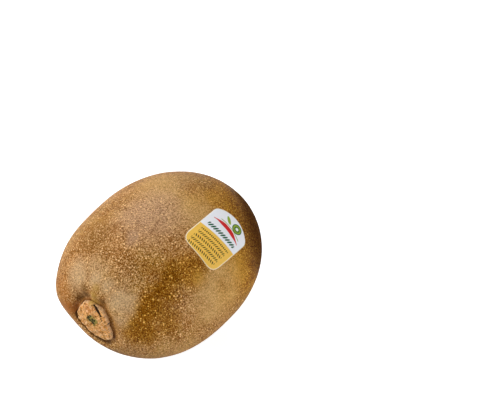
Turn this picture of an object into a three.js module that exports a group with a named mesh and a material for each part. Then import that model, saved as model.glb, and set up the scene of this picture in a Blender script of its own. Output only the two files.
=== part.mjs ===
// Golden kiwi fruit, whole, lying on its side, with a label stuck on its skin.
//
// Millimetres, +Z up. X runs along the fruit: the stem end is at -X and the blossom end at +X.
// The origin is the middle of the whole part's footprint, on the surface that the fruit lies on.
// Four pieces: the fruit itself, the woody cap that the dried sepals left at the stem end, the dry
// stub of the styles at the blossom end, and the label.

import * as THREE from "three";
import { mergeVertices } from "three/addons/utils/BufferGeometryUtils.js";

const DEG = Math.PI / 180;

// Body: two half lengths from the widest section, and that section's half width and half height.
const STEM_HALF = 35.8;
const TIP_HALF = 31.8;
const HALF_WIDTH = 27.65;
const HALF_HEIGHT = 23.15;
// How blunt each end is: 2 is an ellipse, and more is squarer in the shoulders.
const STEM_BLUNTNESS = 2.8;
const TIP_BLUNTNESS = 2.0;
// The section is an oval turned a little about X, and the stem end leans off the long axis.
const SECTION_TURN = -7 * DEG;
const STEM_LEAN = { y: -0.4, z: 2.35 };
// Low swellings that keep a grown fruit from being regular: so many round the section, drifting
// along it, each a share of the section's size.
const SWELLINGS = [
  { share: -0.0043, around: 3, along: 0.03, phase: 1.5 },
  { share: 0.0031, around: 2, along: 0.07, phase: -1.04 },
];
// The flat spot that the fruit rests on is cut this deep into its belly.
const REST_DEPTH = 0.4;

// Stem end: the middle of the woody cap, and the round hollow that it sits in.
const CAP_CENTRE = { y: -0.4, z: 3.6 };
const HOLLOW = { depth: 2.3, floor: 5.5, mouth: 11.5 };
// Shoulders, ridges and valleys of skin round the cap. Each is at an angle about the cap's middle
// and a distance from it, with its size along both, and lifts the skin (a valley is negative).
const FOLDS = [
  { at: 0, width: 28, distance: 16.6, spread: 5.0, lift: 1.9 },
  { at: 34, width: 17, distance: 8.9, spread: 3.0, lift: -0.95 },
  { at: 83, width: 11, distance: 9.3, spread: 3.2, lift: 0.85 },
  { at: 105, width: 9, distance: 8.6, spread: 2.4, lift: -0.6 },
  { at: 135, width: 22, distance: 12.5, spread: 4.0, lift: 0.45 },
  { at: 190, width: 20, distance: 9.5, spread: 3.0, lift: -0.3 },
  { at: 321, width: 28, distance: 9.9, spread: 3.5, lift: -0.45 },
];

// Woody cap: the distance of its edge from its middle, at angles round it. It is thin at the edge,
// and the stalk left a pit in it, off its middle, with a collar round the pit.
const CAP_EDGE = [
  { at: 8, distance: 6.5 },
  { at: 36, distance: 6.3 },
  { at: 60, distance: 6.5 },
  { at: 79, distance: 7.0 },
  { at: 96, distance: 6.4 },
  { at: 122, distance: 7.1 },
  { at: 142, distance: 6.8 },
  { at: 167, distance: 6.3 },
  { at: 188, distance: 6.8 },
  { at: 206, distance: 7.7 },
  { at: 228, distance: 7.1 },
  { at: 264, distance: 6.7 },
  { at: 301, distance: 6.8 },
  { at: 330, distance: 7.3 },
  { at: 349, distance: 7.0 },
];
const CAP_EDGE_HEIGHT = 0.7;
const CAP_MIDDLE_HEIGHT = 1.35;
const CAP_RIM = { inset: 0.8, width: 0.6, height: 0.3 };
const STALK = { y: 0.7, z: -1.1 };
const STALK_PIT = { radius: 1.4, depth: 0.8 };
const STALK_COLLAR = { radius: 2.5, width: 0.7, height: 0.35 };
const CAP_WRINKLES = { count: 17, depth: 0.07 };
// A slit between the cap and the one sepal that has curled up, along an arc of the cap.
const SLIT = { at: 112, width: 26, distance: 5.2, spread: 0.45, depth: 0.8 };
const CAP_LEAST_HEIGHT = 0.3;

// Blossom end: a low beak with a small hollow, and the stub of the styles in it.
const BEAK = { height: 1.3, radius: 5.0 };
const BEAK_HOLLOW = { depth: 1.1, radius: 2.8 };
const STUB_RADIUS = 2.3;
const STUB_MIDDLE_HEIGHT = 0.95;
const STUB_EDGE_HEIGHT = 0.4;
const STYLES = { count: 18, relief: 0.16 };

// Label: an arched sheet with its arch towards the blossom end, laid on the skin.
const LABEL = { width: 14.3, height: 19.9, arch: 3.15, corner: 3.4, shoulder: 1.0 };
const LABEL_THICKNESS = 0.25;
const LABEL_X = 4.9;
const LABEL_ANGLE = 132.8 * DEG;
const LABEL_TURN = 4.6 * DEG;

// Clear space between two pieces that touch on the real fruit.
const GAP = 0.3;
const LABEL_GAP = 0.12;

// How finely each surface is divided.
const BODY_SEGMENTS = 72;
const STEM_RINGS = 18;
const STEM_RING_END = 0.56;
const BODY_RINGS = 38;
const CAP_SEGMENTS = 72;
const CAP_RINGS = 12;
const STUB_SEGMENTS = 54;
const STUB_RINGS = 6;
const LABEL_EDGE_POINTS = 60;
const LABEL_RINGS = 7;
const HALVINGS = 36;

const { lerp, smoothstep } = THREE.MathUtils;
const bell = (distance, width) => Math.exp(-((distance / width) ** 2));

// The turn from one angle to another, the shorter way round.
const turnBetween = (a, b) => Math.atan2(Math.sin(a - b), Math.cos(a - b));

// Body

// The half size of the section at x, as a share of the widest one.
function profile(x) {
  const share = x < 0 ? -x / STEM_HALF : x / TIP_HALF;
  const bluntness = x < 0 ? STEM_BLUNTNESS : TIP_BLUNTNESS;
  return Math.sqrt(Math.max(0, 1 - share ** bluntness));
}

// The middle of the section at x.
function middle(x) {
  const share = Math.max(0, -x / STEM_HALF) ** 2;
  return { y: STEM_LEAN.y * share, z: STEM_LEAN.z * share };
}

function swelling(x, angle) {
  let size = 1;
  for (const s of SWELLINGS) size += s.share * Math.cos(s.around * angle - s.phase + s.along * x);
  return size;
}

// A point on the smooth body: no hollow, folds, beak or resting spot.
function bodyPoint(x, angle) {
  const size = profile(x) * swelling(x, angle);
  const across = HALF_WIDTH * size * Math.cos(angle);
  const upwards = HALF_HEIGHT * size * Math.sin(angle);
  const c = Math.cos(SECTION_TURN);
  const s = Math.sin(SECTION_TURN);
  const { y, z } = middle(x);
  return new THREE.Vector3(x, y + across * c - upwards * s, z + across * s + upwards * c);
}

// Whether a point is inside the smooth body.
function isInside(p) {
  const size = profile(p.x);
  if (size === 0) return false;
  const c = Math.cos(SECTION_TURN);
  const s = Math.sin(SECTION_TURN);
  const m = middle(p.x);
  const across = ((p.y - m.y) * c + (p.z - m.z) * s) / HALF_WIDTH;
  const upwards = (-(p.y - m.y) * s + (p.z - m.z) * c) / HALF_HEIGHT;
  return Math.hypot(across, upwards) < size * swelling(p.x, Math.atan2(upwards, across));
}

// The way from a point inside to the smooth body, along a direction, by halving a length.
function lengthToBody(from, direction, longest) {
  let inner = 0;
  let outer = longest;
  for (let i = 0; i < HALVINGS; i++) {
    const length = (inner + outer) / 2;
    if (isInside(from.clone().addScaledVector(direction, length))) inner = length;
    else outer = length;
  }
  return inner;
}

// How far the skin stands out from the smooth body along -X, at y, z from the cap's middle.
function stemRelief(y, z) {
  const distance = Math.hypot(y, z);
  const angle = Math.atan2(z, y);
  let lift = -HOLLOW.depth * (1 - smoothstep(distance, HOLLOW.floor, HOLLOW.mouth));
  for (const fold of FOLDS) {
    const turn = turnBetween(angle, fold.at * DEG);
    lift += fold.lift * bell(turn, fold.width * DEG) * bell(distance - fold.distance, fold.spread);
  }
  return lift;
}

// How far the skin stands out from the smooth body along +X, round the blossom end.
function tipRelief(distance) {
  const beak = BEAK.height * bell(distance, BEAK.radius);
  return beak - BEAK_HOLLOW.depth * bell(distance, BEAK_HOLLOW.radius);
}

// Moves a point of the smooth body to the real skin. The relief fades out away from each end.
function withRelief(p) {
  if (p.x < 0) {
    const onEnd = smoothstep(-p.x / STEM_HALF, 0.2, 0.6);
    p.x -= onEnd * stemRelief(p.y - CAP_CENTRE.y, p.z - CAP_CENTRE.z);
  } else {
    p.x += smoothstep(p.x / TIP_HALF, 0.5, 0.8) * tipRelief(Math.hypot(p.y, p.z));
  }
  return p;
}

// The skin at an end, straight out along X from y, z.
function endSkin(y, z, side) {
  const out = new THREE.Vector3(side, 0, 0);
  const from = new THREE.Vector3(0, y, z);
  const length = lengthToBody(from, out, STEM_HALF + 1);
  return withRelief(from.addScaledVector(out, length));
}

// The height of the resting spot.
function restHeight() {
  let lowest = 0;
  for (let x = -STEM_HALF / 2; x < TIP_HALF / 2; x += 0.5)
    for (let a = 230; a < 310; a += 1) lowest = Math.min(lowest, bodyPoint(x, a * DEG).z);
  return lowest + REST_DEPTH;
}
const FLOOR = restHeight();

// Meshes from rings

// A closed mesh from rings of points. The first and last rings are one point each, and the rings
// between them all have the same number of points.
function ringedGeometry(rings) {
  const points = rings.flat();
  const positions = new Float32Array(points.length * 3);
  points.forEach((p, i) => p.toArray(positions, i * 3));
  const index = [];
  let start = 0;
  for (let r = 0; r + 1 < rings.length; r++) {
    const near = rings[r].length;
    const far = rings[r + 1].length;
    const next = start + near;
    for (let i = 0; i < Math.max(near, far); i++) {
      const j = (i + 1) % Math.max(near, far);
      if (far > 1) index.push(start + (near > 1 ? i : 0), next + i, next + j);
      if (near > 1) index.push(start + i, next + (far > 1 ? j : 0), start + j);
    }
    start = next;
  }
  const geometry = new THREE.BufferGeometry();
  geometry.setAttribute("position", new THREE.BufferAttribute(positions, 3));
  geometry.setIndex(index);
  return geometry;
}

// A low solid that lies on a surface. place(share, i, lift) is its i-th point at a share of the way
// from its middle to its edge, and height(share, i) is how high its top stands there.
function layerGeometry({ place, height, count, rings }) {
  const numbers = Array.from({ length: count }, (_, i) => i);
  const shares = Array.from({ length: rings }, (_, i) => (i + 1) / rings);
  const under = shares.map((share) => numbers.map((i) => place(share, i, 0)));
  const top = shares.map((share) => numbers.map((i) => place(share, i, height(share, i))));
  return ringedGeometry([[place(0, 0, 0)], ...under, ...top.reverse(), [place(0, 0, height(0, 0))]]);
}

// A layer on the skin of an end, given by its edge and its height at an angle round its middle.
function endLayerGeometry({ centre, side, edge, height, count, rings }) {
  const angleOf = (i) => (i / count) * 2 * Math.PI;
  const place = (share, i, lift) => {
    const r = share * edge(angleOf(i));
    const y = centre.y + r * Math.cos(angleOf(i));
    const z = centre.z + r * Math.sin(angleOf(i));
    const p = endSkin(y, z, side);
    return p.setX(p.x + side * (GAP + lift));
  };
  return layerGeometry({ place, height: (share, i) => height(share, angleOf(i)), count, rings });
}

// Pieces

function fruitGeometry() {
  const steps = [];
  for (let i = 1; i <= STEM_RINGS; i++) steps.push((STEM_RING_END * i) / STEM_RINGS);
  for (let i = 1; i < BODY_RINGS; i++)
    steps.push(STEM_RING_END + ((Math.PI - STEM_RING_END) * i) / BODY_RINGS);
  const xAt = (step) => -(step < Math.PI / 2 ? STEM_HALF : TIP_HALF) * Math.cos(step);
  const point = (x, angle) => {
    const p = withRelief(bodyPoint(x, angle));
    return p.setZ(Math.max(p.z, FLOOR));
  };
  const angles = Array.from({ length: BODY_SEGMENTS }, (_, i) => (i / BODY_SEGMENTS) * 2 * Math.PI);
  const rings = steps.map((step) => angles.map((angle) => point(xAt(step), angle)));
  return ringedGeometry([[point(-STEM_HALF, 0)], ...rings, [point(TIP_HALF, 0)]]);
}

// The distance of the cap's edge from its middle, eased from one given corner to the next.
function capEdge(angle) {
  const whole = 360;
  const turn = (angle / DEG + whole) % whole;
  const next = Math.max(0, CAP_EDGE.findIndex((corner) => corner.at > turn));
  const from = CAP_EDGE.at(next - 1);
  const to = CAP_EDGE[next];
  const span = (to.at - from.at + whole) % whole;
  const into = (turn - from.at + whole) % whole;
  return lerp(from.distance, to.distance, smoothstep(into, 0, span));
}

// How high the woody cap stands, at a share of the way to its edge.
function capHeight(share, angle) {
  const edge = capEdge(angle);
  const r = share * edge;
  const fromStalk = Math.hypot(r * Math.cos(angle) - STALK.y, r * Math.sin(angle) - STALK.z);
  const dome = lerp(CAP_MIDDLE_HEIGHT, CAP_EDGE_HEIGHT, share ** 3);
  const rim = CAP_RIM.height * bell(edge - r - CAP_RIM.inset, CAP_RIM.width);
  const collar = STALK_COLLAR.height * bell(fromStalk - STALK_COLLAR.radius, STALK_COLLAR.width);
  const pit = STALK_PIT.depth * bell(fromStalk, STALK_PIT.radius);
  const ripple = Math.sin(CAP_WRINKLES.count * angle + r / 2) * smoothstep(share, 0.3, 0.6);
  const alongSlit = bell(turnBetween(angle, SLIT.at * DEG), SLIT.width * DEG);
  const slit = SLIT.depth * alongSlit * bell(r - SLIT.distance, SLIT.spread);
  return Math.max(CAP_LEAST_HEIGHT, dome + rim + collar - pit + CAP_WRINKLES.depth * ripple - slit);
}

function calyxGeometry() {
  return endLayerGeometry({
    centre: CAP_CENTRE,
    side: -1,
    edge: capEdge,
    height: capHeight,
    count: CAP_SEGMENTS,
    rings: CAP_RINGS,
  });
}

// How high the stub of the styles stands: a low dome, ribbed where each style dried.
function stubHeight(share, angle) {
  const dome = lerp(STUB_MIDDLE_HEIGHT, STUB_EDGE_HEIGHT, share ** 2);
  return dome + STYLES.relief * Math.cos(STYLES.count * angle) * smoothstep(share, 0.15, 0.6);
}

function styleStubGeometry() {
  return endLayerGeometry({
    centre: { y: 0, z: 0 },
    side: 1,
    edge: () => STUB_RADIUS,
    height: stubHeight,
    count: STUB_SEGMENTS,
    rings: STUB_RINGS,
  });
}

// The label's flat outline, about its middle: x across it, and y towards its arch.
function labelOutline() {
  const w = LABEL.width / 2;
  const h = LABEL.height / 2;
  const sideTop = h - LABEL.arch;
  const radius = (w ** 2 + LABEL.arch ** 2) / (2 * LABEL.arch);
  const arcStart = Math.atan2(sideTop - (h - radius), w) + LABEL.shoulder / radius;
  const arcX = radius * Math.cos(arcStart);
  const arcY = h - radius + radius * Math.sin(arcStart);
  const shape = new THREE.Shape();
  shape.moveTo(w - LABEL.corner, -h);
  shape.quadraticCurveTo(w, -h, w, -h + LABEL.corner);
  shape.lineTo(w, sideTop - LABEL.shoulder);
  shape.quadraticCurveTo(w, sideTop, arcX, arcY);
  shape.absarc(0, h - radius, radius, arcStart, Math.PI - arcStart, false);
  shape.quadraticCurveTo(-w, sideTop, -w, sideTop - LABEL.shoulder);
  shape.lineTo(-w, -h + LABEL.corner);
  shape.quadraticCurveTo(-w, -h, -w + LABEL.corner, -h);
  shape.closePath();
  return shape.getSpacedPoints(LABEL_EDGE_POINTS).slice(0, -1);
}

// The label's place: its middle on the skin, and the directions out, along and across it.
function labelFrame() {
  const centre = bodyPoint(LABEL_X, LABEL_ANGLE);
  const lengthwise = bodyPoint(LABEL_X + 1, LABEL_ANGLE).sub(centre).normalize();
  const round = bodyPoint(LABEL_X, LABEL_ANGLE + DEG).sub(centre);
  const out = new THREE.Vector3().crossVectors(round, lengthwise).normalize();
  const along = lengthwise.applyAxisAngle(out, -LABEL_TURN);
  const across = new THREE.Vector3().crossVectors(along, out);
  return { centre, out, along, across };
}

function stickerGeometry() {
  const { centre, out, along, across } = labelFrame();
  const outline = labelOutline();
  const deep = HALF_HEIGHT / 2;
  const place = (share, i, lift) => {
    const from = centre.clone().addScaledVector(out, -deep);
    from.addScaledVector(across, share * outline[i].x).addScaledVector(along, share * outline[i].y);
    const length = lengthToBody(from, out, 2 * deep);
    return from.addScaledVector(out, length + LABEL_GAP + lift);
  };
  const height = () => LABEL_THICKNESS;
  return layerGeometry({ place, height, count: outline.length, rings: LABEL_RINGS });
}

// Colours and finish, as they look in soft daylight

const skin = new THREE.MeshStandardMaterial({ color: "#a9803f", roughness: 0.5, metalness: 0 });
const wood = new THREE.MeshStandardMaterial({ color: "#b98552", roughness: 0.85, metalness: 0 });
const driedStyle = new THREE.MeshStandardMaterial({ color: "#5a3d22", roughness: 0.95, metalness: 0 });
const paper = new THREE.MeshStandardMaterial({ color: "#f6d68c", roughness: 0.4, metalness: 0 });

// The same geometry with its doubled points joined and its faces pointing out.
function facingOut(geometry) {
  const joined = mergeVertices(geometry, 1e-5);
  const points = joined.getAttribute("position");
  const index = joined.index.array;
  const corner = (i) => new THREE.Vector3().fromBufferAttribute(points, index[i]);
  let volume = 0;
  for (let i = 0; i < index.length; i += 3) volume += corner(i).dot(corner(i + 1).cross(corner(i + 2)));
  if (volume < 0)
    for (let i = 0; i < index.length; i += 3) [index[i + 1], index[i + 2]] = [index[i + 2], index[i + 1]];
  joined.computeVertexNormals();
  return joined;
}

function piece(name, geometry, material) {
  const mesh = new THREE.Mesh(facingOut(geometry), material);
  mesh.name = name;
  return mesh;
}

const kiwi = new THREE.Group();
kiwi.add(
  piece("fruit", fruitGeometry(), skin),
  piece("calyx", calyxGeometry(), wood),
  piece("style_stub", styleStubGeometry(), driedStyle),
  piece("sticker", stickerGeometry(), paper),
);

// Stand the group on its footprint: the resting spot at z = 0, and its box about x = y = 0.
const box = new THREE.Box3().setFromObject(kiwi, true);
kiwi.position.set(-(box.min.x + box.max.x) / 2, -(box.min.y + box.max.y) / 2, -FLOOR);

export default kiwi;
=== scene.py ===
# %% [markdown]
# A golden kiwi fruit, whole, with a paper label stuck on its skin.
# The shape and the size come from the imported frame, which is in metres with Z up: the stem end is
# at -X, the blossom end at +X, and the fruit lies on a small flat spot at Z = 0.
# This file dresses that frame. Each cell makes one thing and prints what it made.

# %% Load the frame
import math

import bpy
from mathutils import Matrix, Vector, kdtree, noise


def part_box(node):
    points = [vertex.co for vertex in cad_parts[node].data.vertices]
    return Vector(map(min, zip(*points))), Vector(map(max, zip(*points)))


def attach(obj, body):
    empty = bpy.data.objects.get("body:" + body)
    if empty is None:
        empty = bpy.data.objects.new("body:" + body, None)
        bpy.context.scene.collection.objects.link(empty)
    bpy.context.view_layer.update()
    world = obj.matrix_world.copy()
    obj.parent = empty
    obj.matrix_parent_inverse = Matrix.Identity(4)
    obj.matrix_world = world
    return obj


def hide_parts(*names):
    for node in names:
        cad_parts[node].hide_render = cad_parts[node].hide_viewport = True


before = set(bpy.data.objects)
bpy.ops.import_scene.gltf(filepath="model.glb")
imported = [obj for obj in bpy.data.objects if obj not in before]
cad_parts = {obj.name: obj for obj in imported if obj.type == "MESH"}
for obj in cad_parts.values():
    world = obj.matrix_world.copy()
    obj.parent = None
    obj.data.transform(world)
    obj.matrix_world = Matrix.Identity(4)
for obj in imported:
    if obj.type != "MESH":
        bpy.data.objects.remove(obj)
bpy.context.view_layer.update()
MM = 0.001

# %% [markdown]
# Blender's operators act on whatever is selected, and the frame arrives selected.
# So every step first picks exactly the object that it works on.

# %% Pick one object
def pick(obj):
    bpy.ops.object.select_all(action="DESELECT")
    obj.select_set(True)
    bpy.context.view_layer.objects.active = obj


def apply_modifiers(obj):
    pick(obj)
    for modifier in list(obj.modifiers):
        bpy.ops.object.modifier_apply(modifier=modifier.name)


# %% [markdown]
# The frame's solids are made of loose flat triangles. A piece that keeps such a shape starts as
# a copy: its doubled points are merged, its triangles are paired back to four-sided faces, and
# then it can be subdivided smoothly. Making the body again from a sphere would only move it off
# the frame.

# %% A joined copy of a CAD node
MERGE = 1e-6
PAIRING = math.radians(70)


def joined_copy(node, name):
    piece = bpy.data.objects.new(name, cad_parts[node].data.copy())
    bpy.context.collection.objects.link(piece)
    piece.data.name = name
    piece.data.materials.clear()
    pick(piece)
    if piece.data.has_custom_normals:
        bpy.ops.mesh.customdata_custom_splitnormals_clear()
    bpy.ops.object.mode_set(mode="EDIT")
    bpy.ops.mesh.select_all(action="SELECT")
    bpy.ops.mesh.remove_doubles(threshold=MERGE)
    bpy.ops.mesh.tris_convert_to_quads(face_threshold=PAIRING, shape_threshold=PAIRING)
    bpy.ops.mesh.normals_make_consistent(inside=False)
    bpy.ops.object.mode_set(mode="OBJECT")
    bpy.ops.object.shade_smooth()
    return piece


def subdivide_smoothly(piece, levels):
    modifier = piece.modifiers.new("smooth", "SUBSURF")
    modifier.levels = levels
    modifier.render_levels = levels
    apply_modifiers(piece)


def report(piece):
    faces = piece.data.polygons
    triangles = sum(len(f.vertices) - 2 for f in faces)
    print(piece.name, "has", len(piece.data.vertices), "points and", triangles, "triangles")


def finish_piece(piece, node, material):
    piece.data.materials.clear()
    piece.data.materials.append(material)
    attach(piece, "root")
    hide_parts(node)
    report(piece)


# %% [markdown]
# The camera stands where the photographer's did: well above the fruit, off its stem end, and far
# enough for a long lens. It aims beside the fruit, so the fruit is low and left in the frame.

# %% Camera
AZIMUTH = -50.64
ELEVATION = 50.64
DISTANCE = 620 * MM
BODY_MIDDLE = Vector((1.0341, 0.0329, 22.7212)) * MM
FRAME_SIZE = (500, 420)
MIDDLE_IN_FRAME = (166.7, 259.2)
FOCAL_PIXELS = 2024.7
SENSOR = 36
CLIPPED = (0.01, 20)


def direction_to(azimuth, elevation):
    """From the fruit to something at this azimuth and elevation, in degrees."""
    a, e = math.radians(azimuth), math.radians(elevation)
    return Vector((math.sin(a) * math.cos(e), -math.cos(a) * math.cos(e), math.sin(e)))


back = direction_to(AZIMUTH, ELEVATION)
right = Vector((math.cos(math.radians(AZIMUTH)), math.sin(math.radians(AZIMUTH)), 0))
upwards = back.cross(right)
turned = Matrix((right, upwards, back)).transposed().to_quaternion()
offset = Vector((MIDDLE_IN_FRAME[0] - FRAME_SIZE[0] / 2, FRAME_SIZE[1] / 2 - MIDDLE_IN_FRAME[1],
                 -FOCAL_PIXELS))
aside = offset.rotation_difference(Vector((0, 0, -1)))

camera_data = bpy.data.cameras.new("camera")
camera_data.sensor_width = SENSOR
camera_data.lens = FOCAL_PIXELS / FRAME_SIZE[0] * SENSOR
camera_data.clip_start, camera_data.clip_end = CLIPPED
camera = bpy.data.objects.new("camera", camera_data)
bpy.context.collection.objects.link(camera)
camera.rotation_mode = "QUATERNION"
camera.location = BODY_MIDDLE + back * DISTANCE
camera.rotation_quaternion = turned @ aside
bpy.context.scene.camera = camera
print("lens, mm:", round(camera_data.lens, 1))

# %% [markdown]
# Shader nodes are added by name and joined by their sockets. These helpers keep each material
# short enough to read: a value is either a number or another node's output.

# %% Node helpers
def connect(tree, socket, value):
    if isinstance(value, bpy.types.NodeSocket):
        tree.links.new(value, socket)
    elif hasattr(socket.default_value, "__len__") and len(socket.default_value) > len(value):
        socket.default_value = (*value, 1)
    else:
        socket.default_value = value


def add(tree, kind, inputs=None, **settings):
    node = tree.nodes.new("ShaderNode" + kind)
    for name, value in settings.items():
        setattr(node, name, value)
    for name, value in (inputs or {}).items():
        connect(tree, node.inputs[name], value)
    return node


def calc(tree, operation, *values):
    return add(tree, "Math", dict(enumerate(values)), operation=operation).outputs[0]


def times(tree, first, second):
    return calc(tree, "MULTIPLY", first, second)


def blend(tree, share, first, second, how="MIX"):
    node = add(tree, "Mix", data_type="RGBA", blend_type=how, clamp_factor=True)
    for index, value in ((0, share), (6, first), (7, second)):
        connect(tree, node.inputs[index], value)
    return node.outputs[2]


def layered(tree, ground, layers):
    """Lays colours over a ground in turn, each where its own mask is."""
    for mask, colour in layers:
        ground = blend(tree, mask, ground, colour)
    return ground


# %% [markdown]
# Places are vectors, and have maths nodes of their own, whose second output is a plain number.

# %% Helpers for places
def vector(tree, operation, *values):
    return add(tree, "VectorMath", dict(enumerate(values)), operation=operation).outputs[0]


def scaled(tree, place, by):
    return add(tree, "VectorMath", {0: place, 3: by}, operation="SCALE").outputs[0]


def length_of(tree, place):
    return add(tree, "VectorMath", {0: place}, operation="LENGTH").outputs[1]


def distance_to(tree, place, point):
    return add(tree, "VectorMath", {0: place, 1: point}, operation="DISTANCE").outputs[1]


def joined(tree, x, y=0.0, z=0.0):
    return add(tree, "CombineXYZ", {0: x, 1: y, 2: z}).outputs[0]


# %% [markdown]
# Lengths on a fruit are easiest in millimetres, so every material reads its piece's own Object
# coordinates and turns them from metres. Ramps between two values are smooth, as in skin. What
# was measured on a piece's points is stored there, and read back by its name.

# %% Helpers for patterns
def millimetres(tree):
    return scaled(tree, add(tree, "TexCoord").outputs["Object"], 1 / MM)


def ramp(tree, value, start, end, low=0.0, high=1.0):
    sockets = {0: value, 1: start, 2: end, 3: low, 4: high}
    return add(tree, "MapRange", sockets, interpolation_type="SMOOTHSTEP").outputs[0]


def cloudy(tree, place, per_mm, detail, roughness=0.5):
    inputs = {"Vector": place, "Scale": per_mm, "Detail": detail, "Roughness": roughness}
    return add(tree, "TexNoise", inputs).outputs


def stored(tree, name):
    return add(tree, "Attribute", attribute_name=name).outputs["Fac"]


# %% [markdown]
# A node group is a pattern with its own inputs, made once and used by several materials.

# %% Helpers for node groups
def new_group(name, inputs, outputs):
    group = bpy.data.node_groups.new(name, "ShaderNodeTree")
    for label, kind, value in inputs:
        socket = group.interface.new_socket(
            name=label, in_out="INPUT", socket_type="NodeSocket" + kind)
        if value is not None:
            socket.default_value = value
    for label, kind in outputs:
        group.interface.new_socket(
            name=label, in_out="OUTPUT", socket_type="NodeSocket" + kind)
    given = group.nodes.new("NodeGroupInput").outputs
    made = group.nodes.new("NodeGroupOutput").inputs
    return group, given, made


def use_group(tree, group, inputs):
    node = tree.nodes.new("ShaderNodeGroup")
    node.node_tree = group
    for name, value in inputs.items():
        connect(tree, node.inputs[name], value)
    return node.outputs


# %% [markdown]
# Dots: kiwi skin is covered in pores, small pale corky dots that are spaced evenly and sized
# unevenly. Voronoi cells give that spacing, and each cell's own random value its dot's size.
# The skin has two sizes of dot, one among the other, so the dots are a group.

# %% Group: dots
DOT_SCATTER = 0.85

dots, given, made = new_group(
    "Dots",
    [("Place", "Vector", None), ("Per mm", "Float", 0.8), ("Least size", "Float", 0.1),
     ("Most size", "Float", 0.3), ("Softness", "Float", 0.1)],
    [("Mask", "Float")])
cells = add(dots, "TexVoronoi", {"Vector": given["Place"], "Scale": given["Per mm"],
                                 "Randomness": DOT_SCATTER}, feature="F1").outputs
chance = add(dots, "SeparateColor", {0: cells["Color"]}).outputs[0]
size_range = calc(dots, "SUBTRACT", given["Most size"], given["Least size"])
dot_size = calc(dots, "MULTIPLY_ADD", chance, size_range, given["Least size"])
dot_edge = calc(dots, "ADD", dot_size, given["Softness"])
connect(dots, made["Mask"], ramp(dots, cells["Distance"], dot_size, dot_edge, 1.0, 0.0))

# %% [markdown]
# Mottling: nothing that grew is one colour. Two colours run into each other over patches of a
# given size, with a finer grain on top. Skin, cap, styles and even the paper use it.

# %% Group: mottling
mottling, given, made = new_group(
    "Mottling",
    [("Place", "Vector", None), ("Per mm", "Float", 0.1), ("First", "Color", (0, 0, 0, 1)),
     ("Second", "Color", (1, 1, 1, 1)), ("Balance", "Float", 0.5), ("Spread", "Float", 0.15)],
    [("Color", "Color"), ("Mask", "Float")])
patches = cloudy(mottling, given["Place"], given["Per mm"], 4.0, 0.6)["Fac"]
patch_low = calc(mottling, "SUBTRACT", given["Balance"], given["Spread"])
patch_high = calc(mottling, "ADD", given["Balance"], given["Spread"])
patch_mask = ramp(mottling, patches, patch_low, patch_high)
connect(mottling, made["Color"], blend(mottling, patch_mask, given["First"], given["Second"]))
connect(mottling, made["Mask"], patch_mask)

# %% [markdown]
# Fibres: the dead sepals and styles are woody threads that run out from a middle. The pattern is
# a noise that is read at the direction from the middle, many times finer round it than along it.

# %% Group: fibres
fibres, given, made = new_group(
    "Fibres",
    [("Place", "Vector", None), ("Round", "Float", 8.0), ("Along", "Float", 0.35)],
    [("Height", "Float")])
parts = add(fibres, "SeparateXYZ", {0: given["Place"]}).outputs
flat = joined(fibres, 0.0, parts[1], parts[2])
round_it = scaled(fibres, vector(fibres, "NORMALIZE", flat), given["Round"])
along_it = joined(fibres, times(fibres, length_of(fibres, flat), given["Along"]))
reading = vector(fibres, "ADD", round_it, along_it)
connect(fibres, made["Height"], cloudy(fibres, reading, 1.0, 3.0, 0.65)["Fac"])
print("node groups:", [group.name for group in bpy.data.node_groups])

# %% [markdown]
# The body of the fruit. The frame gives its shape: a long oval with square shoulders, folds round
# the cap and a low beak at the other end. Two levels of subdivision round off its facets, and a
# displacement that only presses inwards gives it the low dents that a grown fruit has.

# %% Skin: shape
DENT_SIZE = 6 * MM
DENT_DEPTH = 0.14 * MM

skin = joined_copy("fruit", "kiwi_skin")
subdivide_smoothly(skin, 2)

dents = bpy.data.textures.new("dents", "CLOUDS")
dents.noise_scale = DENT_SIZE
dents.noise_depth = 2
dented = skin.modifiers.new("dents", "DISPLACE")
dented.texture = dents
dented.texture_coords = "LOCAL"
dented.mid_level = 1.0
dented.strength = DENT_DEPTH
apply_modifiers(skin)
report(skin)

# %% [markdown]
# The far end carries a painted shadow: nearly black at its rim, amber within, and golden round it.
# How dark a point is there depends on the way that it faces, so its normal is set against two
# directions: the shaded side's, which is the middle of the far end's dark rim, and the one that
# looks up at the camera. Past the outline the painted shadow and the gold round it fade out. The
# shares are stored on the points, for the skin's material.

# %% Skin: which way it faces
SHADED_SIDE = Vector((0.8, -0.559, 0.217))
TOWARDS_CAMERA = Vector((-0.490, -0.402, 0.773))
PAST_OUTLINE = -0.05
FADED_OUT = -0.8
BROWN_FACING = (0.6, 0.95)
GOLDEN_FACING = (0.5, 0.72)
UNDER_FACING = (-0.3, 0.1)


def fade(value, start, end):
    share = min(1.0, max(0.0, (value - start) / (end - start)))
    return share * share * (3 - 2 * share)


def store(piece, name, values):
    """Keeps one number for each point, for the piece's material to read."""
    piece.data.attributes.new(name, "FLOAT", "POINT").data.foreach_set("value", values)


# Painted shadow: these shares darken the far end's rim as a cast shadow would, with gold round it.
facings = [(vertex.normal.dot(SHADED_SIDE), vertex.normal.dot(TOWARDS_CAMERA))
           for vertex in skin.data.vertices]
store(skin, "facing_shade", [shade + min(0.0, camera_facing - PAST_OUTLINE) for shade, camera_facing in facings])
store(skin, "shaded_end", [fade(shade, *BROWN_FACING) * fade(camera_facing, FADED_OUT, 0.0)
                           for shade, camera_facing in facings])
store(skin, "golden_end", [fade(shade, *GOLDEN_FACING) * fade(camera_facing, FADED_OUT, PAST_OUTLINE)
                           for shade, camera_facing in facings])
store(skin, "underside", [1 - fade(camera_facing, *UNDER_FACING) for _, camera_facing in facings])
print("points that face the shade:", sum(shade > BROWN_FACING[1] for shade, _ in facings))

# %% [markdown]
# The cap's edge is needed twice: to press the skin in round it, and to paint shade in its crevice.
# It is measured on the frame's own cap, as the furthest point at each few degrees.

# %% The cap's edge
CAP_MIDDLE = Vector((0, -0.3671, 26.3212))
SECTORS = 72


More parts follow.
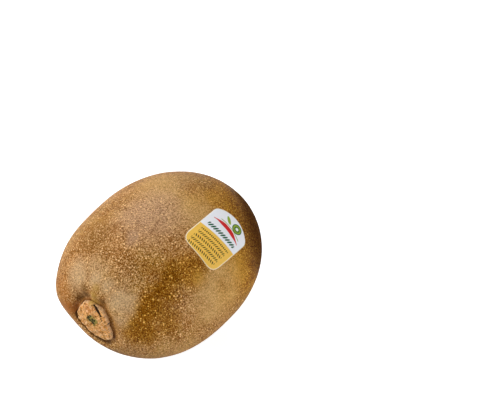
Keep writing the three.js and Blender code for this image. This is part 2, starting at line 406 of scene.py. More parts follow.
def cap_place(point):
    """Angle and distance of a point from the cap's middle, seen from the stem end, in mm."""
    y = point.y / MM - CAP_MIDDLE.y
    z = point.z / MM - CAP_MIDDLE.z
    return math.atan2(z, y), math.hypot(y, z)


edge_distance = [0.0] * SECTORS
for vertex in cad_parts["calyx"].data.vertices:
    angle, distance = cap_place(vertex.co)
    sector = round(angle / math.tau * SECTORS) % SECTORS
    edge_distance[sector] = max(edge_distance[sector], distance)


def mixed(ends, share):
    return ends[0] + (ends[1] - ends[0]) * share


def cap_edge(angle):
    turns = (angle / math.tau * SECTORS) % SECTORS
    first = int(turns)
    return mixed((edge_distance[first % SECTORS], edge_distance[(first + 1) % SECTORS]),
                 turns - first)


print("the cap's edge is", round(min(edge_distance), 2), "to", round(max(edge_distance), 2),
      "mm out")

# %% [markdown]
# The skin puckers where it is drawn in round the cap, and it leaves a crevice below it. No
# modifier follows the cap's uneven edge, so each point near the stem is pressed in by its own
# distance from that edge. That distance and the crevice's share of painted shade are stored, for
# the colours.

# %% Skin: puckers round the cap
STEM_SIDE = -20 * MM
FAR_FROM_CAP = 40.0
PUCKERS = 5.0
PUCKERS_ALONG = 0.2
PUCKER_DEPTH = 0.18
PUCKER_STARTS = (-2, 0)
PUCKER_ENDS = (0.5, 5)
CREVICE_ANGLE = math.radians(310)
CREVICE_SPREAD = math.radians(85)
CREVICE_OUT = 0.9
CREVICE_WIDTH = 1.0
CREVICE_DEPTH = 0.7
SHADE_REACH = (0.9, 3.0)
SHADE_FADES = 1.2
HIDDEN_FROM = (math.radians(18), math.radians(50))


def turn_from(angle, start):
    """The turn from one direction to another, at most half a turn either way."""
    return math.atan2(math.sin(angle - start), math.cos(angle - start))


def bell(value, middle, half, power=2):
    """One at the middle and nearly nothing past the half width; flatter with a high power."""
    return math.exp(-(((value - middle) / half) ** power))


def round_noise(angle, distance, finer, along):
    return noise.noise(Vector((math.cos(angle) * finer, math.sin(angle) * finer,
                               distance * along)))


from_cap = []
crevices = []
for vertex in skin.data.vertices:
    beyond = FAR_FROM_CAP
    crevice = 0
    if vertex.co.x < STEM_SIDE:
        angle, distance = cap_place(vertex.co)
        beyond = distance - cap_edge(angle)
        near = fade(beyond, *PUCKER_STARTS) * (1 - fade(beyond, *PUCKER_ENDS))
        folded = 0.5 - round_noise(angle, distance, PUCKERS, PUCKERS_ALONG)
        turn = turn_from(angle, CREVICE_ANGLE)
        below = bell(turn, 0, CREVICE_SPREAD, 6)
        groove = CREVICE_DEPTH * below * bell(beyond, CREVICE_OUT, CREVICE_WIDTH)
        # How far the painted shade in the crevice reaches out from the cap's edge.
        reach = mixed(SHADE_REACH, 1 - fade(turn, *HIDDEN_FROM))
        crevice = below * (1 - fade(beyond, reach - SHADE_FADES, reach))
        vertex.co.x += (PUCKER_DEPTH * near * folded + groove) * MM
    from_cap.append(beyond)
    crevices.append(crevice)
store(skin, "from_cap", from_cap)
store(skin, "crevice", crevices)
print("points in the crevice:", sum(share > 0.5 for share in crevices))

# %% [markdown]
# Kiwi skin is bronze: an olive gold, rust red where it is folded. Pale corky dots lie all over it.
# Each colour gets a name here, among them painted highlights, deep gold painted shade, and the
# amber and black of the painted shadow at the far end. The ground that the others lie on is mottled
# twice, broadly and then more finely.

# %% Skin: colours
BRONZE = (0.44, 0.195, 0.056)
OLIVE = (0.405, 0.195, 0.04)
UMBER = (0.31, 0.115, 0.016)
# The next three colours are painted highlights: on the front and top, whose tan also colours the
# felt patches under the fruit, on the upper side, and on the lobes by the cap.
HIGHLIGHT_AND_PATCH_TAN = (0.605, 0.358, 0.128)
UPPER_HIGHLIGHT = (0.51, 0.305, 0.18)
LOBE_HIGHLIGHT = (0.58, 0.395, 0.215)
# Deep gold of the painted shade, in the band along the front and at the far end.
SHADE_GOLD = (0.235, 0.09, 0.002)
# Amber of the painted shadow at the far end.
SHADOW_AMBER = (0.17, 0.048, 0.001)
RUST = (0.43, 0.135, 0.02)
YELLOW_OLIVE = (0.5, 0.3, 0.06)
# Olive painted shade for the valley by the cap.
OLIVE_SHADE = (0.13, 0.058, 0.01)
RUSSET = (0.22, 0.088, 0.014)
PALE_DOT = (0.95, 0.62, 0.28)
PALE_GRAIN = (0.78, 0.49, 0.22)
DARK_GRAIN = (0.3, 0.24, 0.14)
GOLDEN_TINT = (1.0, 0.86, 0.34)
SHADE = (0.07, 0.024, 0.003)
# Black for the darkest part of the painted shadow at the far end.
SHADOW_BLACK = (0.0, 0.0, 0.0)


def new_material(name):
    material = bpy.data.materials.new(name)
    material.use_nodes = True
    tree = material.node_tree
    shader = tree.nodes["Principled BSDF"]
    return material, tree, shader


skin_finish, tree, shader = new_material("bronze_skin")
place = millimetres(tree)
broad = use_group(tree, mottling, {"Place": place, "Per mm": 0.06, "First": BRONZE,
                                   "Second": OLIVE, "Balance": 0.5, "Spread": 0.14})
blotched = use_group(tree, mottling, {"Place": place, "Per mm": 0.2, "First": broad["Color"],
                                      "Second": UMBER, "Balance": 0.56, "Spread": 0.12})
print("the skin's material is", skin_finish.name)

# %% [markdown]
# Painted highlights lie pale on the shoulders by the cap, along the upper side and low on the
# front, and painted shade in deep gold lies in a band between them. Each such area is a soft ball:
# how far a point is from the ball's middle says how much of its colour the point takes. Some balls
# are measured from a place that wanders off the true one, which makes them ragged.

# %% Skin: soft areas
WANDER_PER_MM = 0.12
WANDER_REACH = 9.0


def area(tree, place, middle, inner, outer, strength=1.0):
    return ramp(tree, distance_to(tree, place, middle), inner, outer, strength, 0.0)


def most_of(tree, masks):
    largest = masks[0]
    for mask in masks[1:]:
        largest = calc(tree, "MAXIMUM", largest, mask)
    return largest


def areas(tree, balls):
    """One mask of several balls: each has a place, a middle, two radii and a strength."""
    return most_of(tree, [area(tree, *ball) for ball in balls])


wander = vector(tree, "SUBTRACT", cloudy(tree, place, WANDER_PER_MM, 3.0, 0.6)["Color"],
                (0.5, 0.5, 0.5))
wandered = vector(tree, "ADD", place, scaled(tree, wander, WANDER_REACH))
print("a place wanders off by up to", WANDER_REACH / 2, "mm")

# %% [markdown]
# The painted highlights, in three colours, are on the front and the upper side, on the upper side
# alone, and on the lobes by the cap. Under the fruit the felt lies in patches of noise, in the
# front highlight's pale tan.

# %% Skin: painted highlights
# Painted highlight on the front and along the top.
front_highlight = areas(tree, [
    (wandered, (-8, -25, 32), 3, 12, 0.9),
    (wandered, (3, -24.5, 34), 2, 9, 0.9),
    (wandered, (7, -7, 44.5), 2, 13, 0.8),
    (wandered, (15.5, -7.5, 42.5), 2, 7, 0.4),
    (wandered, (-22, -23, 20), 2, 9, 0.5),
    (place, (-5.5, -23.4, 35.5), 1, 6, 0.95),
    (place, (-1.5, -26.5, 29.5), 1, 7, 0.9),
    (place, (10.9, -22.6, 34.4), 1, 5, 0.35),
    (place, (-8.5, -20.7, 38), 0.5, 4.5, 0.8),
    (place, (-1, -22.5, 37), 1, 6, 0.9),
    (place, (9, 8, 43.5), 3, 14, 0.7),
])
# Painted highlight on the upper side.
upper_highlight = areas(tree, [
    (wandered, (-4, 3, 45.5), 4, 15, 0.7),
    (wandered, (-13, 1.5, 45), 1, 6, 0.9),
])
# Painted highlight on the lobes by the cap.
lobe_highlight = areas(tree, [
    (wandered, (-29, 9, 36), 1, 8, 0.75),
    (wandered, (-25.5, 5, 40.5), 1, 6, 0.5),
    (wandered, (-29, -7.5, 38), 0.5, 7.5, 0.85),
    (place, (-28, 3, 39), 0.5, 5, 0.75),
    (place, (-28.3, -1.8, 39.3), 0.5, 4.5, 0.7),
    (place, (-31, -9.5, 32.5), 0.5, 4.5, 0.6),
])
patchy = cloudy(tree, place, 0.045, 3.0, 0.6)["Fac"]
under_felt = times(tree, ramp(tree, patchy, 0.4, 0.62, 0.15, 0.85), stored(tree, "underside"))
# Painted highlights and felt patches together, where grain and dots are weaker.
highlights_and_patches = most_of(tree, [front_highlight, lobe_highlight, under_felt, times(tree, upper_highlight, 0.55),
                        area(tree, place, (-16, 13, 41), 3, 12, 0.6)])
print("nodes after the felted areas:", len(tree.nodes))

# %% [markdown]
# Between them lies painted shade in deep gold, in a band along the front. The skin is browned in a
# few places behind the cap, and golden round the band, over the label and round the far end's
# painted shadow.

# %% Skin: painted band shade, browned and golden areas
# Painted shade in a band along the front, between the lamps' light.
band_shade = areas(tree, [
    (wandered, (-29.5, -15.5, 30), 2.5, 7.5, 0.95),
    (wandered, (-25, -16, 35.5), 2, 8, 1.0),
    (wandered, (-20, -15.5, 39), 2, 6.5, 1.0),
    (wandered, (-15, -14, 41.5), 2, 7.5, 0.95),
    (wandered, (-7, -18, 41), 1, 6.5, 0.6),
    (wandered, (-23, -19.5, 33), 2, 6.5, 0.8),
    (place, (-17.7, -9.1, 43.4), 0.5, 5, 0.45),
    (place, (18.7, -10.2, 40.2), 1, 5, 0.55),
])
browned = areas(tree, [
    (place, (-18, 12, 41.3), 2, 9, 0.75),
    (place, (-22.5, -5, 42.5), 1, 7, 0.5),
    (place, (-21.3, 6.2, 42.4), 0.5, 5, 0.45),
])
# The golden tint lies over the painted band shade, round the far end's painted shadow and in a few
# golden areas.
golden = most_of(tree, [band_shade, stored(tree, "golden_end"), areas(tree, [
    (place, (-9.5, -17.5, 41), 2.5, 8, 0.95),
    (place, (17, -7, 42), 3, 8, 0.85),
    (place, (-30.8, -14, 29), 1, 6, 0.9),
    (wandered, (15, -4, 43), 2, 11, 0.5),
])])
# Painted shadow on the far end's rim, from the stored facing.
painted_shadow = ramp(tree, stored(tree, "facing_shade"), 0.7, 0.95)
base = layered(tree, blotched["Color"], [
    # Painted shade of the band.
    (band_shade, SHADE_GOLD),
    # Painted highlights, with the felt patches under the fruit.
    (front_highlight, HIGHLIGHT_AND_PATCH_TAN),
    (upper_highlight, UPPER_HIGHLIGHT),
    (times(tree, under_felt, 0.7), HIGHLIGHT_AND_PATCH_TAN),
    (lobe_highlight, LOBE_HIGHLIGHT),
    (browned, RUSSET),
    (times(tree, blotched["Mask"], 0.2), UMBER),
    # Deep gold and then amber paint the shadow at the far end.
    (times(tree, stored(tree, "shaded_end"), 0.6), SHADE_GOLD),
    (painted_shadow, SHADOW_AMBER),
])
print("nodes after the worn, browned and golden areas:", len(tree.nodes))

# %% [markdown]
# Grain and dots: between the dots the skin is finely grained, dark in its hollows and pale on its
# tops, and two sizes of dot lie on it. Grain and dots are weaker on the painted highlights and the
# felt patches, pale grain also on the painted band shade and the far end's painted shadow, and dots
# on that painted shadow. A golden tint goes over them all.

# %% Skin: grain and dots
GRAIN_PER_MM = 2.3
LARGE_DOTS = {"Per mm": 1.0, "Least size": 0.06, "Most size": 0.25, "Softness": 0.06}
SMALL_DOTS = {"Per mm": 1.9, "Least size": 0.06, "Most size": 0.3, "Softness": 0.06}
SMALL_STRENGTH = 0.65


def without(tree, mask, share):
    """What is left of one when a share of the mask is taken off."""
    return calc(tree, "SUBTRACT", 1.0, times(tree, mask, share))


# Grain and dots are weaker on the painted highlights and the felt patches.
clean = without(tree, highlights_and_patches, 0.5)
lit = without(tree, painted_shadow, 0.8)
# Pale grain is weaker on the painted band shade and the far end's painted shadow.
unshaded = without(tree, calc(tree, "MAXIMUM", band_shade, painted_shadow), 0.65)

grain = cloudy(tree, place, GRAIN_PER_MM, 1.5)["Fac"]
dark_grain = times(tree, ramp(tree, grain, 0.39, 0.5, 0.8, 0.0), clean)
pale_grain = times(tree, ramp(tree, grain, 0.52, 0.62, 0.0, 0.5), times(tree, clean, unshaded))
large_dots = use_group(tree, dots, {"Place": place, **LARGE_DOTS})["Mask"]
small_dots = use_group(tree, dots, {"Place": place, **SMALL_DOTS})["Mask"]
small_share = times(tree, small_dots, times(tree, times(tree, clean, lit), SMALL_STRENGTH))
large_share = times(tree, large_dots,
                    times(tree, lit, calc(tree, "MULTIPLY_ADD", clean, 1.2, -0.25)))
dotted = layered(tree, blend(tree, dark_grain, base, DARK_GRAIN, how="MULTIPLY"), [
    (pale_grain, PALE_GRAIN),
    (small_share, PALE_DOT),
    (large_share, PALE_DOT),
])
dotted = blend(tree, golden, dotted, GOLDEN_TINT, how="MULTIPLY")
print("dots per mm:", LARGE_DOTS["Per mm"], "large and", SMALL_DOTS["Per mm"], "small")

# %% [markdown]
# By the cap: the ridge that runs up from it is yellow olive and the cheek beside it is rust red.
# Painted shade darkens the valley between them, a thin ring of painted shadow runs along the cap's
# edge, and the crevice under the cap's edge gets nearly black painted shade. The distance from the
# cap was stored on the skin's points for this. Last, black painted shadow goes over the far end.

# %% Skin: by the cap
ridge = areas(tree, [
    (place, (-31, 0.9, 33.4), 0.2, 2.4, 0.8),
    (place, (-30.8, 1.2, 35.6), 0.2, 2.2, 0.7),
    (place, (-29.8, 1.3, 37.6), 0.2, 2.2, 0.5),
])
# Painted shade in the valley beside the ridge.
valley_shade = areas(tree, [
    (place, (-31, 4.5, 33), 0.4, 2.6, 0.9),
    (place, (-31.2, 5.8, 29.8), 0.5, 2.8, 0.95),
    (place, (-30.8, 5.2, 35.2), 0.4, 2.4, 0.6),
    (place, (-31, -1.9, 33.9), 0.2, 2.2, 0.7),
])
cheek = areas(tree, [
    (wandered, (-32.6, 10, 24), 1.5, 7, 0.85),
    (wandered, (-31, 13, 29), 1, 6, 0.5),
])
beyond = stored(tree, "from_cap")
skin_colour = layered(tree, dotted, [
    (times(tree, cheek, calc(tree, "MULTIPLY_ADD", grain, 1.6, 0.1)), RUST),
    # Painted shade in the valley beside the ridge.
    (valley_shade, OLIVE_SHADE),
    (ramp(tree, beyond, 0.1, 1.6, 0.25, 0.0), RUST),
    # Painted shadow in a thin ring along the cap's edge.
    (ramp(tree, beyond, -0.1, 0.5, 0.6, 0.0), SHADE),
    (ridge, YELLOW_OLIVE),
    # Nearly black painted shade in the crevice under the cap's edge.
    (ramp(tree, stored(tree, "crevice"), 0.1, 0.8, 0.0, 0.95), SHADE),
    # Black painted shadow where the far end's rim is darkest.
    (times(tree, painted_shadow, 0.55), SHADOW_BLACK),
])
print("nodes in the skin's colour:", len(tree.nodes))

# %% [markdown]
# The skin is waxy, but nearly matt: a weak, warm gloss, rougher on the grain's tops and on the
# far end's painted shadow, over a fine relief of grain and dots. A stronger gloss would whiten the
# fruit's rim.

# %% Skin: gloss and relief
SKIN_GLOSS = 0.1
WARM_GLOSS = (1.0, 0.76, 0.48, 1)


def surface(tree, shader, colour, roughness, height, strength, depth):
    """Gives a shader its colour, its roughness and a relief with a depth in mm."""
    connect(tree, shader.inputs["Base Color"], colour)
    connect(tree, shader.inputs["Roughness"], roughness)
    bump = add(tree, "Bump", {"Height": height, "Strength": strength, "Distance": depth * MM})
    connect(tree, shader.inputs["Normal"], bump.outputs[0])


dull = calc(tree, "MAXIMUM", calc(tree, "MULTIPLY_ADD", grain, 0.3, 0.32), painted_shadow)
relief = calc(tree, "ADD", times(tree, large_dots, 0.6), grain)
surface(tree, shader, skin_colour, dull, relief, 0.5, 0.12)
shader.inputs["Specular IOR Level"].default_value = SKIN_GLOSS
shader.inputs["Specular Tint"].default_value = WARM_GLOSS
finish_piece(skin, "fruit", skin_finish)

# %% [markdown]
# The woody cap: what is left of the flower's sepals, dried on round the scar of the stalk. It is
# a thin, torn disc of fibres, cracked from the middle out, with a slit along one side, whose
# outer lip has curled up. These are its places, in mm from its middle, seen from the stem end.

# %% Cap: slit, pit and scar
PIT = Vector((0.7, -1.1))
SCAR_MIDDLE = Vector((0.1, 0.9))
HOLE_AT = Vector((-6.1, 2.5))
SLIT_START = Vector((0.9, 6.4))
SLIT_END = Vector((-3.1, 4.7))
SLIT_WIDTH = 0.4
SLIT_ALONG = SLIT_END - SLIT_START
SLIT_OUT = Vector((SLIT_ALONG.y, -SLIT_ALONG.x)).normalized()
LIP_OUT = 0.8
LIP_WIDTH = 0.35
GAP_MIDDLE = (-0.08, -0.35)
GAP_HALF = (0.26, 0.5)


def slit_at(spot):
    """How much a spot is in the slit's groove, on its raised lip, and in its gap's painted shadow.
    """
    along = (spot - SLIT_START).dot(SLIT_ALONG) / SLIT_ALONG.length_squared
    out = (spot - SLIT_START).dot(SLIT_OUT)
    within = fade(along, -0.08, 0.05) * (1 - fade(along, 0.9, 1.1))
    opened = fade(along, 0.0, 0.6)
    gap_shade = within * bell(out, mixed(GAP_MIDDLE, opened), mixed(GAP_HALF, opened), 4)
    return within * bell(out, 0, SLIT_WIDTH, 4), within * bell(out, LIP_OUT, LIP_WIDTH), gap_shade


def inside(spot, middle, inner, outer, ragged=0.0):
    return 1 - fade((spot - middle).length + ragged, inner, outer)


print("the slit is", round(SLIT_ALONG.length, 2), "mm long")


# %% [markdown]
# The frame has the cap's outline, pit and slit. Here it is divided finely, and its points are
# moved as a sculptor would: fibres, cracks, a torn edge, and one side pulled in. Where the cracks,
# the scar and the rim are is stored on the points, for the colours, and with the cracks the
# painted shadow of the slit's gap.

# %% Cap: shape
ROOT_DEPTH = 0.4
TEAR = 0.28
COARSE_HEIGHT, COARSE_NOISE = 0.14, (2.2, 0.3)
FINE_HEIGHT, FINE_NOISE = 0.1, (9.0, 0.9)
CRACK_DEPTH, CRACK_HALF, CRACK_NOISE = 0.16, 0.07, (3.4, 0.5)
SLIT_DEPTH, LIP_HEIGHT = 0.9, 0.25
SCAR_DEPTH, PIT_FILLED = 0.35, 0.45
CRACKED_FROM = (0.35, 0.6)
PULLED_IN = 1.3
PULLED_AT = math.radians(150)
PULLED_SPREAD = math.radians(55)

cap = joined_copy("calyx", "woody_cap")
subdivide_smoothly(cap, 2)
cap_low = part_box("calyx")[0]
marks = {"crack": [], "scar": [], "rim": []}
normals = [vertex.normal.copy() for vertex in cap.data.vertices]
for vertex, normal in zip(cap.data.vertices, normals):
    angle, distance = cap_place(vertex.co)
    share = distance / cap_edge(angle)
    spot = Vector((distance * math.cos(angle), distance * math.sin(angle)))
    on_top = fade(-normal.x, -0.2, 0.3)
    coarse = round_noise(angle, distance, *COARSE_NOISE)
    fine = round_noise(angle + 9, distance, *FINE_NOISE)
    crack = 1 - fade(abs(round_noise(angle, distance + 20, *CRACK_NOISE)), 0.0, CRACK_HALF)
    crack *= fade(share, *CRACKED_FROM)
    slit, lip, gap_shade = slit_at(spot)
    ragged = 0.9 * noise.noise(Vector((spot.x, spot.y, 0)) * 0.8)
    scar = inside(spot, SCAR_MIDDLE, 1.2, 2.4, ragged)
    lift = COARSE_HEIGHT * coarse + FINE_HEIGHT * fine - CRACK_DEPTH * crack - SLIT_DEPTH * slit
    lift += LIP_HEIGHT * lip + PIT_FILLED * inside(spot, PIT, 0.8, 2.0) - SCAR_DEPTH * scar
    vertex.co.x -= on_top * lift * MM
    vertex.co.x += (1 - on_top) * ROOT_DEPTH * MM
    frayed = 1.3 * round_noise(angle, 3, 4.0, 1) + 0.8 * round_noise(angle, 7, 11, 1)
    pulled = fade(share, 0.4, 1.0) * bell(turn_from(angle, PULLED_AT), 0, PULLED_SPREAD, 4)
    torn = TEAR * fade(share, 0.7, 1.0) * frayed - PULLED_IN * pulled
    vertex.co.y += torn * math.cos(angle) * MM
    vertex.co.z += torn * math.sin(angle) * MM
    vertex.co.x = max(vertex.co.x, cap_low.x)
    # The crack mark also carries the painted shadow of the slit's gap.
    marks["crack"].append(max(0.6 * crack, gap_shade, inside(spot, HOLE_AT, 0.2, 0.5)))
    marks["scar"].append(scar)
    marks["rim"].append(share)
for name, values in marks.items():
    store(cap, name, values)
report(cap)

# %% [markdown]
# The cap's colours: tan fibres with orange in them, pale where the rim has frayed, dark in the
# cracks, near black in the holes and as painted shadow in the slit's gap, olive and red brown at
# the top, where it joins the ridge of the skin, and green at the scar, where the stalk was alive
# until the fruit was picked.

# %% Cap: fibres, flakes and tears
TAN = (0.88, 0.45, 0.145)
ORANGE_BROWN = (0.7, 0.29, 0.062)
STRAW = (0.93, 0.62, 0.34)
RED_BROWN = (0.5, 0.17, 0.05)
CRACK = (0.1, 0.034, 0.008)
HOLE_AND_GAP_SHADE = (0.012, 0.006, 0.003)
# Near black of the holes, also used as painted shadow in the slit's gap.
SCAR_GREEN = (0.32, 0.24, 0.05)
SCAR_BLACK = (0.03, 0.028, 0.008)

cap_finish, tree, shader = new_material("dry_wood")
place = millimetres(tree)
centred = vector(tree, "SUBTRACT", place, tuple(CAP_MIDDLE))
woody = use_group(tree, mottling, {"Place": place, "Per mm": 0.5, "First": TAN,
                                   "Second": ORANGE_BROWN, "Balance": 0.5, "Spread": 0.1})
thread = use_group(tree, fibres, {"Place": centred, "Round": 16.0, "Along": 1.1})["Height"]
flakes = cloudy(tree, place, 1.15, 3.0, 0.65)["Fac"]
texture = calc(tree, "ADD", times(tree, thread, 0.45), times(tree, flakes, 0.55))
tear = cloudy(tree, centred, 0.7, 3.0, 0.6)["Fac"]
tear_line = calc(tree, "ABSOLUTE", calc(tree, "SUBTRACT", tear, 0.5))
print("the cap's material is", cap_finish.name)

# %% [markdown]
# The colours are laid on in order, from the fibres up to the scar, as the real cap weathered:
# first its threads, then its tears and its frayed rim, then the stains, and last the holes, whose
# near black also paints the shadow in the slit's gap.

# %% Cap: material
olive_top = area(tree, place, (-31.5, 1.5, 32.8), 0.6, 2.4, 0.9)
olive_stain = times(tree, area(tree, place, (-34, 0, 27), 1.2, 3.6, 0.55),
                    ramp(tree, flakes, 0.4, 0.55))
red_stain = times(tree, area(tree, place, (-33, 1.5, 30.6), 0.8, 3.2, 0.6),
                  ramp(tree, flakes, 0.42, 0.56, 1.0, 0.2))
scar_core = area(tree, place, (-34, 0.7, 27.3), 0.6, 2.6)
scar_light = calc(tree, "SUBTRACT", flakes, times(tree, scar_core, 0.12))
scar_colour = blend(tree, ramp(tree, scar_light, 0.36, 0.5), SCAR_BLACK, SCAR_GREEN)
cap_colour = layered(tree, woody["Color"], [
    (ramp(tree, texture, 0.5, 0.6, 0.0, 0.9), STRAW),
    (ramp(tree, texture, 0.4, 0.47, 0.9, 0.0), CRACK),
    (ramp(tree, tear_line, 0.006, 0.022, 0.85, 0.0), CRACK),
    (ramp(tree, stored(tree, "rim"), 0.95, 0.99, 0.0, 0.5), STRAW),
    (olive_top, YELLOW_OLIVE),
    (olive_stain, YELLOW_OLIVE),
    (red_stain, RED_BROWN),
    # Holes, and the painted shadow of the slit's gap.
    (ramp(tree, stored(tree, "crack"), 0.35, 0.8, 0.0, 0.95), HOLE_AND_GAP_SHADE),
    (ramp(tree, stored(tree, "scar"), 0.3, 0.95), scar_colour),
])
dull = calc(tree, "MULTIPLY_ADD", thread, 0.3, 0.6)
surface(tree, shader, cap_colour, dull, texture, 0.7, 0.2)
shader.inputs["Specular IOR Level"].default_value = 0.2
finish_piece(cap, "calyx", cap_finish)

# %% [markdown]
# The blossom end: the flower's styles dried to a tuft of short dark threads on a low button. The
# frame's stub is pressed down and narrowed to that button, and its edge is made ragged.

# %% Styles: button
BUTTON_HEIGHT = 0.5
BUTTON_WIDTH = 0.8
BUTTON_RAGGED = 0.3

button = joined_copy("style_stub", "dry_styles")
subdivide_smoothly(button, 1)
stub_low, stub_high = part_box("style_stub")
stub_middle = (stub_low + stub_high) / 2
for vertex in button.data.vertices:
    out = vertex.co - stub_middle
    lobes = round_noise(math.atan2(out.z, out.y), 30, 3.5, 1)
    width = BUTTON_WIDTH + BUTTON_RAGGED * lobes
    vertex.co.x = stub_low.x + (vertex.co.x - stub_low.x) * BUTTON_HEIGHT - ROOT_DEPTH * MM
    vertex.co.y = stub_middle.y + out.y * width
    vertex.co.z = stub_middle.z + out.z * width
report(button)

# %% [markdown]
# One thread is a thin cone, cut across in four places so that it can bend, and then bent by
# moving its rings. Hair curves would be quicker, but an export drops them.

# %% Styles: one thread
THREAD_LENGTH = 1.7 * MM
THREAD_RADIUS = 0.14 * MM
THREAD_TIP = 0.45
THREAD_SIDES = 10
THREAD_PARTS = 5


def style_thread(name, length, bend):
    bpy.ops.object.select_all(action="DESELECT")
    bpy.ops.mesh.primitive_cone_add(vertices=THREAD_SIDES, radius1=THREAD_RADIUS,
                                    radius2=THREAD_RADIUS * THREAD_TIP, depth=length,
                                    location=(0, 0, length / 2))
    thread = bpy.context.active_object
    thread.name = name
    bpy.ops.object.transform_apply(location=True, rotation=True, scale=True)
    bpy.ops.object.mode_set(mode="EDIT")
    for cut in range(1, THREAD_PARTS):
        bpy.ops.mesh.select_all(action="SELECT")
        bpy.ops.mesh.bisect(plane_co=(0, 0, length * cut / THREAD_PARTS), plane_no=(0, 0, 1))
    bpy.ops.object.mode_set(mode="OBJECT")
    for vertex in thread.data.vertices:
        share = vertex.co.z / length
        vertex.co.x += bend * math.sin(share * math.pi * 0.5) ** 2 * MM
    bpy.ops.object.shade_smooth_by_angle(angle=math.radians(50))
    return thread


# %% [markdown]
# The threads stand in three rings on the button and lean outwards. Two noises, read at another
# place for each thread, make it longer or shorter, flatter or steeper.

# %% Styles: all threads
THREADS = 30
RINGS = 3
RING_FIRST, RING_STEP = 0.25, 0.35
LEAN = math.radians(60)
LEAN_SPREAD = math.radians(22)
BEND = 0.5

threads = []
for number in range(THREADS):
    angle = math.tau * number / THREADS
    longer = noise.noise(Vector((number * 1.7, 0.3, 0.9)))
    flatter = noise.noise(Vector((number * 2.3, 5.1, 0.4)))
    ring = RING_FIRST + RING_STEP * (number % RINGS)
    thread = style_thread(f"thread_{number}", THREAD_LENGTH * (1 + 0.4 * longer), BEND * flatter)
    lean = LEAN + LEAN_SPREAD * flatter
    out_and_up = Matrix.Rotation(math.pi / 2 - lean, 4, "Y")
    round_axis = Matrix.Rotation(angle - math.pi / 2 + 0.5 * longer, 4, "X")
    root = Vector((stub_low.x, stub_middle.y + math.cos(angle) * ring * MM,
                   stub_middle.z + math.sin(angle) * ring * MM))
    thread.data.transform(Matrix.Translation(root) @ round_axis @ out_and_up)
    threads.append(thread)

bpy.ops.object.select_all(action="DESELECT")
for thread in threads:
    thread.select_set(True)
button.select_set(True)
bpy.context.view_layer.objects.active = button
bpy.ops.object.join()
for vertex in button.data.vertices:
    vertex.co.x = min(vertex.co.x, stub_high.x)
print("threads joined to the button:", len(threads))

# %% [markdown]
# Dry styles are brown and matt, darker between their fibres. They are too small for relief to
# show, but the same pattern of fibres as on the cap keeps them from looking like wire.

# %% Styles: material
STYLE_BROWN = (0.13, 0.058, 0.02)
STYLE_TAN = (0.3, 0.15, 0.055)
STYLE_DARK = (0.03, 0.014, 0.007)

styles_finish, tree, shader = new_material("dry_styles")
place = millimetres(tree)
centred = vector(tree, "SUBTRACT", place, tuple(stub_middle / MM))
brown = use_group(tree, mottling, {"Place": place, "Per mm": 1.2, "First": STYLE_BROWN,
                                   "Second": STYLE_TAN, "Balance": 0.5, "Spread": 0.15})
height = use_group(tree, fibres, {"Place": centred, "Round": 10.0, "Along": 0.8})["Height"]
darker = blend(tree, ramp(tree, height, 0.35, 0.6, 0.7, 0.0), brown["Color"], STYLE_DARK)
surface(tree, shader, darker, calc(tree, "MULTIPLY_ADD", height, 0.3, 0.6), height, 0.5, 0.1)
finish_piece(button, "style_stub", styles_finish)

# %% [markdown]
# The label is thin coated paper that follows the skin. The frame's solid is thicker than paper,
# so only its upper side is kept. That sheet is subdivided and laid on the skin with a shrinkwrap.

# %% Label: shape
LABEL_OUT = Vector((0.135, -0.520, 0.843)).normalized()
FACES_OUT = 0.5
GLUE = 0.03 * MM

label = joined_copy("sticker", "fruit_label")
pick(label)
bpy.ops.object.mode_set(mode="EDIT")
bpy.ops.mesh.select_all(action="DESELECT")
bpy.ops.object.mode_set(mode="OBJECT")
for face in label.data.polygons:
    face.select = face.normal.dot(LABEL_OUT) < FACES_OUT
bpy.ops.object.mode_set(mode="EDIT")
bpy.ops.mesh.select_mode(type="FACE")
bpy.ops.mesh.delete(type="FACE")
bpy.ops.object.mode_set(mode="OBJECT")
subdivide_smoothly(label, 2)

laid = label.modifiers.new("laid", "SHRINKWRAP")
laid.target = skin
laid.wrap_method = "NEAREST_SURFACEPOINT"
laid.wrap_mode = "ABOVE_SURFACE"
laid.offset = GLUE
apply_modifiers(label)
report(label)

# %% [markdown]
# The sheet gets the thickness of a real label. The bare margin of the print follows the label's
# border, so each point keeps its distance from it. The border is found while the sheet is still
# open, as the edges that only one face uses.

# %% Label: its border and thickness
PAPER = 0.09 * MM

uses = {}
for face in label.data.polygons:
    for key in face.edge_keys:
        uses[key] = uses.get(key, 0) + 1
border_points = sorted({index for key, number in uses.items() if number == 1 for index in key})
outline = kdtree.KDTree(len(border_points))
for index in border_points:
    outline.insert(label.data.vertices[index].co, index)
outline.balance()

thick = label.modifiers.new("paper", "SOLIDIFY")
thick.thickness = PAPER
thick.offset = 1.0
apply_modifiers(label)
store(label, "from_edge", [outline.find(vertex.co)[2] / MM for vertex in label.data.vertices])
report(label)

# %% [markdown]
# The print is a plain design in the usual colours of a fruit label, drawn in the label's own
# plane, so a Mapping node turns Object coordinates into it. There, a mark is a mask made from
# distances across and along the label, in mm.

# %% Label: its own plane
LABEL_MIDDLE = Vector((5.948, -16.334, 41.636))
LABEL_ALONG = Vector((0.989, 0.021, -0.145)).normalized()

label_out = (LABEL_OUT - LABEL_OUT.dot(LABEL_ALONG) * LABEL_ALONG).normalized()
label_axes = Matrix((LABEL_ALONG.cross(label_out), LABEL_ALONG, label_out)).transposed()

paper, tree, shader = new_material("printed_paper")
place = millimetres(tree)
mapped = add(tree, "Mapping", {"Vector": place, "Location": tuple(LABEL_MIDDLE),
                               "Rotation": tuple(label_axes.to_euler())}, vector_type="TEXTURE")
across, along, _ = add(tree, "SeparateXYZ", {0: mapped.outputs[0]}).outputs
on_label = joined(tree, across, along)
print("the label's plane leans", round(math.degrees(math.acos(label_out.z))), "degrees")


